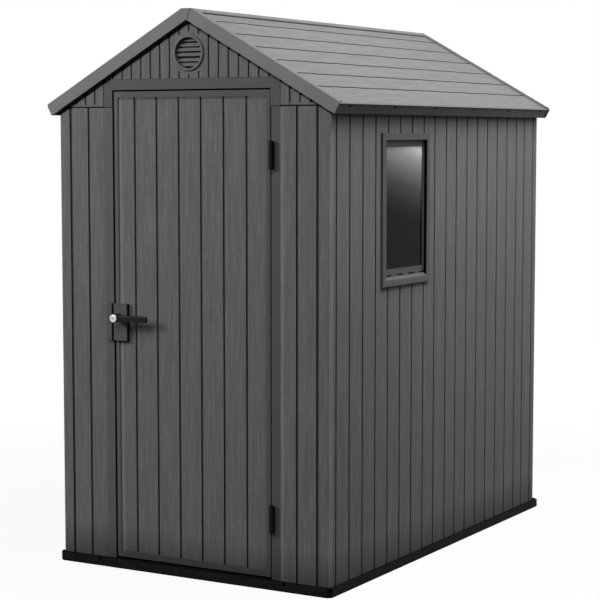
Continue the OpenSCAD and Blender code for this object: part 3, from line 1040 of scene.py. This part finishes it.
roofPanel("roof_panel_left", -1)
roofPanel("roof_panel_right", 1)
ridgeCap("ridge_cap")
ridgeEnd("ridge_end_front", -back)
ridgeEnd("ridge_end_back", back)
for end, endOut in (("front", -back), ("back", back)):
    rakeTrim("rake_trim_" + end + "_left", -1, endOut)
    rakeTrim("rake_trim_" + end + "_right", 1, endOut)
eaveTrim("eave_trim_left", -1)
eaveTrim("eave_trim_right", 1)
dress("ridge_beam", zincSteel)
print("roof made")


baseLook = {
    "rim": 0.0028,           # thickness of the rim around the walls' channel
    "channel": 0.014,
    "chamfer": 0.0012,
    "foot": 0.003,
    "slots": 0.398,          # from the middle to each slot in the front and back rims
    "slotWidth": 0.011,
    "underWall": 0.0015,     # how far the channel reaches under the walls
    "sideIn": 0.028,         # from the walls' outer faces to the boards
    "frontIn": 0.03,
    "boards": 6,
    "boardGap": 0.008,
    "boardHeight": 0.003,
}


def baseTray(node, name):
    look = baseLook
    bm = mergedCopy(node)
    low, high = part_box(node)
    full, gap = look["channel"], look["boardGap"]
    rimX, rimY = high.x - look["rim"], high.y - look["rim"]
    wallX = halfWidth - look["underWall"]
    walls = (frontY + look["underWall"], backY - look["underWall"])
    roomX, room = halfWidth - look["sideIn"], (frontY + look["frontIn"], backY - look["sideIn"])
    slots = toEnds(evenGrooves((-look["slots"], look["slots"]), look["slotWidth"]))
    pitch = 2 * roomX / look["boards"]
    gaps = evenGrooves([pitch * i - roomX for i in range(look["boards"] + 1)], gap)
    fields = plankFields(slots, (-far, -rimY), full) + plankFields(slots, (rimY, far), full)
    fields += [field((-far, -rimX), whole, full), field((rimX, far), whole, full),
               field((-wallX, wallX), walls, full - look["boardHeight"])]
    fields += plankFields(gaps, room, full)
    fields += [field((-wallX, -roomX), walls, full), field((roomX, wallX), walls, full),
               field((-wallX, wallX), (walls[0], room[0] - gap), full),
               field((-wallX, wallX), (room[1] + gap, walls[1]), full)]
    relief(bm, up, right, back, fields, baseShadow)
    paint([f for f in bm.faces if min(abs(f.normal.x), abs(f.normal.y)) > facing["half"]], baseShadow)
    softenPlane(bm, up, low.z, look["foot"], 1)
    softenPlane(bm, up, high.z, look["chamfer"], 1)
    piece(node, bm, "shed", baseResin, name)


baseTray("floor", "baseTray")
print("base made")


doorLook = {
    "grooves": (0.0472, 0.1425, 0.2375),   # each side of the middle
    "grooveWidth": 0.0074,
    "grooveDepth": 0.0065,
    "latchTrim": 0.006,      # how far the leaf's edge keeps back from the latch's jamb
    "hingeTrim": 0.0018,     # how much nearer it comes to the hinges' jamb
    "footTrim": 0.0025,      # how far its foot keeps off the base
    "latchStile": 0.0175,    # width of the smooth border on the latch's side
    "hingeStile": 0.0165,
    "rail": 0.021,
    "fieldDrop": 0.0025,     # how far the planks lie behind the border
    "borderGap": 0.003,      # shallow groove around the planks
    "borderDepth": 0.0008,
    "latchLean": 0.0148,     # leaning strips along the planks' sides
    "hingeLean": 0.0096,
    "leanDrop": 0.002,
    "cove": 0.0095,          # slope from the top rail down to the planks
    "edge": 0.0018,
    "leafEdge": 0.003,
    "innerBorder": 0.055,
    "innerDrop": 0.004,
    "innerRails": (0.30, 0.65),            # shares of the door's height
}


def doorFront(bm, low, high):
    look = doorLook
    height, gap = look["grooveDepth"], look["borderGap"]
    latchSide, hingeSide = low.x + look["latchStile"], high.x - look["hingeStile"]
    bottom, top = low.z + look["rail"], high.z - look["rail"]
    places = sorted(side * place for place in look["grooves"] for side in (-1, 1))
    grooves = [(latchSide, gap)] + evenGrooves(places, look["grooveWidth"]) + [(hingeSide, gap)]
    fields = plankFields(grooves, (bottom + gap / 2, top), height)
    shallow, border = height - look["borderDepth"], height + look["fieldDrop"]
    for across, along, fieldHeight in (
            ((latchSide - gap, latchSide + gap / 2), (bottom - gap, top), shallow),
            ((hingeSide - gap / 2, hingeSide + gap), (bottom - gap, top), shallow),
            ((latchSide, hingeSide), (bottom - gap, bottom + gap / 2), shallow),
            ((-far, latchSide - gap / 2), whole, border),
            ((hingeSide + gap / 2, far), whole, border),
            (whole, (-far, bottom - gap / 2), border),
            (whole, (top, far), border)):
        fields.append(field(across, along, fieldHeight, frameResin))
    rimLevel = relief(bm, -back, right, up, fields)
    level = rimLevel - look["fieldDrop"]
    # the step walls beside the planks are painted lighter than the shade they lie in: painted light
    paint([f for f in bm.faces if abs(f.normal.x) > facing["square"]
           and min(abs(f.calc_center_median().x - x) for x in (latchSide, hingeSide)) < 2 * gap],
          paintedHighlightResin)
    tilt(bm, -back, level, right, latchSide + gap / 2, look["latchLean"], look["leanDrop"])
    paintLean(bm, -back, -1)
    tilt(bm, -back, level, right, hingeSide - gap / 2, -look["hingeLean"], look["leanDrop"])
    tilt(bm, -back, level, up, top, -look["cove"], -look["fieldDrop"])
    outer = [f for f in bm.faces if looks(f, -back, "mostly")]
    paint([f for f in outer if looks(f, -up, "slightly")
           and f.calc_center_median().z > top - look["cove"]], frameResin)
    # the border on the latch's side is a lighter copy of the frame: painted light
    paint([f for f in outer if f.material_index == palette.index(frameResin)
           and f.calc_center_median().x < latchSide], leftFrameResin)
    sides = [(right, low.x), (right, high.x), (up, low.z), (up, high.z)]
    for axis, place in sides:
        softenLine(bm, -back, rimLevel, axis, place, look["leafEdge"])
    softenRelief(bm, -back, level, look["edge"], sides + [(up, top)])


def doorBack(bm, low, high):
    # a raised border and two rails
    look = doorLook
    border = look["innerBorder"]
    stile = high.x - border
    bars = [(-far, low.z + border), (high.z - border, far)]
    for share in look["innerRails"]:
        middle = low.z + (high.z - low.z) * share
        bars.append((middle - border / 2, middle + border / 2))
    fields = [field((-stile, stile), bar, look["innerDrop"], insideResin) for bar in bars]
    fields += [field(across, whole, look["innerDrop"], insideResin)
               for across in ((-far, -stile), (stile, far))]
    level = relief(bm, back, right, up, fields, insideResin)
    softenRelief(bm, back, level, look["edge"])


def doorLeaf(node):
    bm = mergedCopy(node)
    low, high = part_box(node)
    for corner, axis, trim in ((low, right, "latchTrim"), (high, right, "hingeTrim"),
                               (low, up, "footTrim")):
        moveEdge(bm, axis, corner.dot(axis), doorLook[trim])
        corner += axis * doorLook[trim]
    doorFront(bm, low, high)
    doorBack(bm, low, high)
    piece(node, bm, "door", wallResin)


doorLeaf("door_leaf")
print("door made")


hardwareLook = {
    "hingeEdge": 0.0007,
    "hingeSide": 0.341,      # where the leaves' visible edge lies, from the middle
    "pinHead": 0.0048,
    "pinDome": 0.0025,
    "pinEdge": 0.002,
    "housingEdge": 0.0022,
    "cover": 0.0045,         # thickness of the latch's grey cover
    "letIn": 0.005,
    "latchShift": 0.004,     # how much nearer to the hinges the two blocks' facing sides are
    "armHalf": 0.012,
    "armThick": 0.014,
    "armEnd": 0.01176,       # rounding of the arm's free end
    "leverEdge": 0.0045,
    "barrelEdge": 0.0025,
    "lockEdge": 0.0012,
    "lockRing": 0.0042,
    "plugEdge": 0.0007,      # width of the two slopes around the plug
    "plugGroove": 0.0009,
    "plugRise": 0.0007,
    "plugGap": 0.001,
    "keyway": (0.0011, 0.0045),            # half its width and half its height
    "keyDepth": 0.003,
}


def hingeLeaf(node, body, pin):
    look = hardwareLook
    bm = mergedCopy(node)
    low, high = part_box(node)
    moveEdge(bm, right, low.x, look["hingeSide"] - low.x)
    soften(bm, sharpEdges(bm, radians(60)), look["hingeEdge"], 1)
    if pin:
        axis = Vector(next(j["pos_m"] for j in frame["joints"] if j["name"] == "door_swing"))
        for end, direction in ((high.z, up), (low.z, -up)):
            head = tubeAlong(direction, Vector((axis.x, axis.y, end)), look["pinHead"],
                             look["pinDome"], 32)
            softenPlane(head, up, end + direction.z * look["pinDome"], look["pinEdge"], 3)
            addTo(bm, head)
    piece(node, bm, body, hingeBlack)


def latchBlock(node, body):
    # grey cover on a black case, let a little way into the recessed planks
    look = hardwareLook
    bm = mergedCopy(node)
    low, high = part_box(node)
    moveEdge(bm, back, high.y, look["letIn"])
    if body == "door":
        moveEdge(bm, right, low.x, look["latchShift"])
    else:
        moveEdge(bm, right, low.x, -look["latchShift"])
        moveEdge(bm, right, high.x, look["latchShift"])
    cut(bm, back, low.y + look["cover"])
    bm.normal_update()
    paint([f for f in bm.faces if f.calc_center_median().y > low.y + look["cover"]
           and not looks(f, -back, "mostly")], hingeBlack)
    softenPlane(bm, back, low.y, look["housingEdge"], 3)
    piece(node, bm, body, latchResin)


def handleLever(node):
    look = hardwareLook
    low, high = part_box(node)
    radius = (high.z - low.z) / 2
    axis = Vector((low.x + radius, 0, low.z + radius))
    arm, armBack = look["armHalf"], low.y + look["armThick"]
    bm = cubeFrom(Vector((axis.x, low.y, axis.z - arm)), Vector((high.x, armBack, axis.z + arm)))
    ends = [e for e in sharpEdges(bm) if onPlane(e, right, high.x)
            and abs((e.verts[0].co - e.verts[1].co).normalized().y) > facing["mostly"]]
    soften(bm, ends, look["armEnd"], 8)
    rims = [e for e in sharpEdges(bm) if not onPlane(e, right, axis.x)
            and (onPlane(e, back, low.y) or onPlane(e, back, armBack))]
    soften(bm, rims, look["leverEdge"], 4)
    barrel = tubeAlong(back, Vector((axis.x, low.y, axis.z)), radius, high.y - low.y)
    soften(barrel, sharpEdges(barrel), look["barrelEdge"], 3)
    addTo(bm, barrel)
    piece(node, bm, "handle", leverBlack)


def lockFace(node, name):
    # a ring around a sunken plug with its keyway
    look = hardwareLook
    low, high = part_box(node)
    radius = (high.x - low.x) / 2
    centre = (low + high) / 2

    def offset(face):
        return face.calc_center_median() - centre

    def outerFaces(test):
        return [f for f in bm.faces if looks(f, -back, "mostly") and test(offset(f))]

    bm = tubeAlong(-back, Vector((centre.x, high.y, centre.z)), radius, high.y - low.y)
    softenPlane(bm, back, low.y, look["lockEdge"], 3)
    bmesh.ops.inset_region(bm, faces=facesAt(bm, -back, -low.y), thickness=look["lockRing"], depth=0)
    plug = min(facesAt(bm, -back, -low.y), key=lambda f: offset(f).xz.length)
    for depth in (-look["plugGroove"], look["plugRise"]):
        bmesh.ops.inset_region(bm, faces=[plug], thickness=look["plugEdge"], depth=depth)
    bm.normal_update()
    wide, tall = look["keyway"]
    reach = radius - look["lockRing"] - look["plugGap"]
    for place in (centre.x - wide, centre.x + wide):
        cut(bm, right, place, outerFaces(lambda off: off.xz.length < reach))
    for place in (centre.z - tall, centre.z + tall):
        cut(bm, up, place, outerFaces(lambda off: abs(off.x) < wide / 2))
    slit = outerFaces(lambda off: abs(off.x) < wide / 2 and abs(off.z) < tall / 2)
    # the keyway's floor and walls are painted black: painted shade in the slot
    for face in raiseFaces(bm, slit, back * look["keyDepth"]):
        for edge in face.edges:
            paint(edge.link_faces, hingeBlack)
    piece(node, bm, "handle", lockSteel, name)


hingeLeaf("upper_hinge_wall_leaf", "shed", True)
hingeLeaf("lower_hinge_wall_leaf", "shed", True)
hingeLeaf("upper_hinge_door_leaf", "door", False)
hingeLeaf("lower_hinge_door_leaf", "door", False)
latchBlock("latch_keeper", "shed")
latchBlock("latch_housing", "door")
handleLever("handle_lever")
lockFace("lock_cylinder", "lockFace")
dress("latch_spindle", zincSteel)
dress("latch_tongue", zincSteel)
print("hinges, latch and handle made")


windowLook = {
    "edge": 0.0025,
    "railEdge": 0.0012,
    "slotFirst": 0.0407,     # from the opening's front side to the first drain slot
    "slotPitch": 0.0926,
    "slotLength": 0.048,
    "slotHeight": 0.006,
    "slotRaise": 0.0012,
    "slotDepth": 0.006,
    "slotCount": 4,
}


def windowFrame(node):
    bm = mergedCopy(node)
    edges = [e for e in sharpEdges(bm, radians(30))
             if all(v.co.x > halfWidth + meshCare["touch"] for v in e.verts)
             and any(abs(f.normal.x) < facing["slightly"] and not looks(f, up, "slightly")
                     for f in e.link_faces)]
    soften(bm, edges, windowLook["edge"], 3)
    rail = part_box("window_rail")[1]
    for axis in (back, up):
        # the sides of the opening beside the rail are painted near black: painted shade
        paint([f for f in bm.faces if looks(f, -axis, "mostly")
               and near(f.calc_center_median().dot(axis), rail.dot(axis))], baseShadow)
    piece(node, bm, "shed", windowResin)


def windowRail(node):
    look = windowLook
    bm = mergedCopy(node)
    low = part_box(node)[0]
    full = look["slotDepth"]
    slotLow = low.z + look["slotRaise"]
    slotHigh = slotLow + look["slotHeight"]
    slots = evenGrooves([low.y + look["slotFirst"] + look["slotPitch"] * i
                         for i in range(look["slotCount"])], look["slotLength"])
    fields = [field(whole, (-far, slotLow), full), field(whole, (slotHigh, far), full)]
    fields += plankFields(toEnds(slots), (slotLow, slotHigh), full)
    level = relief(bm, right, back, up, fields)
    for axis in (back, up):
        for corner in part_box("window_pane"):
            softenLine(bm, right, level, axis, corner.dot(axis), look["railEdge"], 2)
    piece(node, bm, "shed", windowResin)


windowFrame("window_frame")
windowRail("window_rail")
dress("window_pane", clearPane)
print("window made")


cameraLook = {
    "place": (3.5939, -6.3119, 1.5971),
    "yaw": -30.14,           # turned to the left of straight ahead, in degrees
    "pitch": -5.165,
    "lens": 109.14,
    "sensor": 36,
    "reach": 200,
}
lampLook = {
    "key": {"place": (-3.8, -4.8, 3.2), "aim": (0, -0.9, 1.0), "size": 1.8, "power": 245},
    "front": {"place": (0.3, -6.0, 5.5), "aim": (0, -0.9, 1.0), "size": 2.5, "power": 245},
    "top": {"place": (1.9, -0.5, 5.3), "aim": (0.58, -0.1, 1.0), "size": 1.6, "power": 332},
    "side": {"place": (2.6, 2.9, 3.2), "aim": (0.58, 0.6, 1.2), "size": 1.2, "power": 48},
    "eave": {"place": (1.95, 1.3, 3.9), "aim": (0.58, 0.9, 1.4), "size": 1.0, "power": 82},
    "back": {"place": (-3.0, 5.5, 3.2), "aim": (0, 0.9, 1.0), "size": 2.0, "power": 120},
}
floorLook = {
    "size": 80,
    "diffuse": 0.03,
    "near": 0.93,            # how bright the floor looks beside the shed
    "reach": 4.5,            # where it reaches full white, in metres from the middle
    "fade": 0.5,             # share of that reach over which it fades
    "ambient": 0.1,
}


def addCamera(look):
    camera = bpy.data.cameras.new("camera")
    camera.sensor_width = look["sensor"]
    camera.lens = look["lens"]
    camera.clip_end = look["reach"]
    seat = placed("camera", camera)
    seat.location = look["place"]
    seat.rotation_euler = (radians(90 + look["pitch"]), 0, -radians(look["yaw"]))
    bpy.context.scene.camera = seat


def addLamp(name, look):
    lamp = bpy.data.lights.new(name, "AREA")
    lamp.size = look["size"]
    lamp.energy = look["power"]
    holder = placed(name, lamp)
    holder.location = look["place"]
    aim = Vector(look["aim"]) - holder.location
    holder.rotation_euler = aim.to_track_quat("-Z", "Y").to_euler()


def seenShare(tree):
    # 1 for the camera, for reflections and through glass, 0 for everything else
    path = addNode(tree, "ShaderNodeLightPath").outputs
    first = reckoned(tree, "MAXIMUM", path["Is Camera Ray"], path["Is Glossy Ray"])
    return reckoned(tree, "MAXIMUM", first, path["Is Transmission Ray"])


def floorMaterial(look):
    material = bpy.data.materials.new("studioFloor")
    material.use_nodes = True
    tree = material.node_tree
    tree.nodes.clear()
    vector = objectPattern(tree, (1 / look["reach"],) * 3)
    fade = addNode(tree, "ShaderNodeTexGradient", {"Vector": vector}, gradient_type="SPHERICAL")
    bright = addNode(tree, "ShaderNodeMapRange", {"Value": fade.outputs["Fac"], "From Max": look["fade"],
                                                  "To Min": 1.0, "To Max": look["near"]})
    strength = reckoned(tree, "MULTIPLY", seenShare(tree), bright.outputs["Result"])
    matt = addNode(tree, "ShaderNodeBsdfDiffuse", {"Color": plain(look["diffuse"])})
    glow = addNode(tree, "ShaderNodeEmission", {"Strength": strength})
    both = addNode(tree, "ShaderNodeAddShader", {0: matt.outputs["BSDF"], 1: glow.outputs["Emission"]})
    addNode(tree, "ShaderNodeOutputMaterial", {"Surface": both.outputs["Shader"]})
    return material


def addFloor(look):
    bm = bmesh.new()
    bmesh.ops.create_grid(bm, x_segments=1, y_segments=1, size=look["size"] / 2)
    mesh = bpy.data.meshes.new("studioFloor")
    bm.to_mesh(mesh)
    bm.free()
    mesh.materials.append(floorMaterial(look))
    placed("studioFloor", mesh)


def addWorld(look):
    world = bpy.data.worlds.new("studio")
    bpy.context.scene.world = world
    world.use_nodes = True
    tree = world.node_tree
    background = tree.nodes["Background"]
    background.inputs["Color"].default_value = plain(1)
    strength = addNode(tree, "ShaderNodeMapRange", {"Value": seenShare(tree), "To Min": look["ambient"],
                                                    "To Max": 1.0})
    tree.links.new(strength.outputs["Result"], background.inputs["Strength"])


addCamera(cameraLook)
for lampName, lampValues in lampLook.items():
    addLamp(lampName, lampValues)
addFloor(floorLook)
addWorld(floorLook)
bpy.context.scene.view_settings.view_transform = "Standard"
print("camera, lights and floor made")
